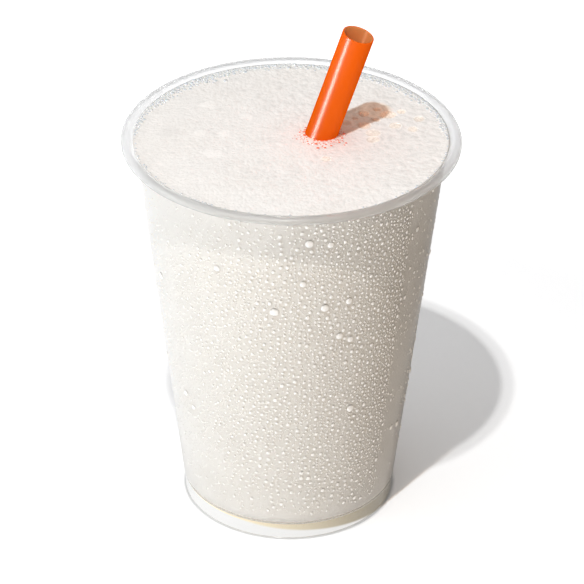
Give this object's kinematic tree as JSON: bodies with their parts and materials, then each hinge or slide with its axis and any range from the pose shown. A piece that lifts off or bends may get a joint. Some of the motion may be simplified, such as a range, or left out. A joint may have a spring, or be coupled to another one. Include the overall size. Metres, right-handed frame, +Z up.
{
  "type": "milkshake",
  "caption": "Pale milkshake with a layer of fine froth, in a tapered clear plastic cup with a rolled rim and beads of condensation, and a wide orange straw leaning in it.",
  "frame": {"origin": "centre of the cup's foot, on the surface that it stands on", "axes": "+Z up along the cup's axis; the straw leans towards +X"},
  "size_m": [0.098, 0.098, 0.153],
  "materials": {
    "clear_plastic": "clear, smooth and glossy",
    "milkshake": "opaque creamy drink, with fine froth on top",
    "orange_plastic": "smooth and slightly translucent"
  },
  "bodies": {
    "root": {"cup": "clear_plastic", "milkshake": "milkshake", "straw": "orange_plastic"}
  },
  "joints": []
}
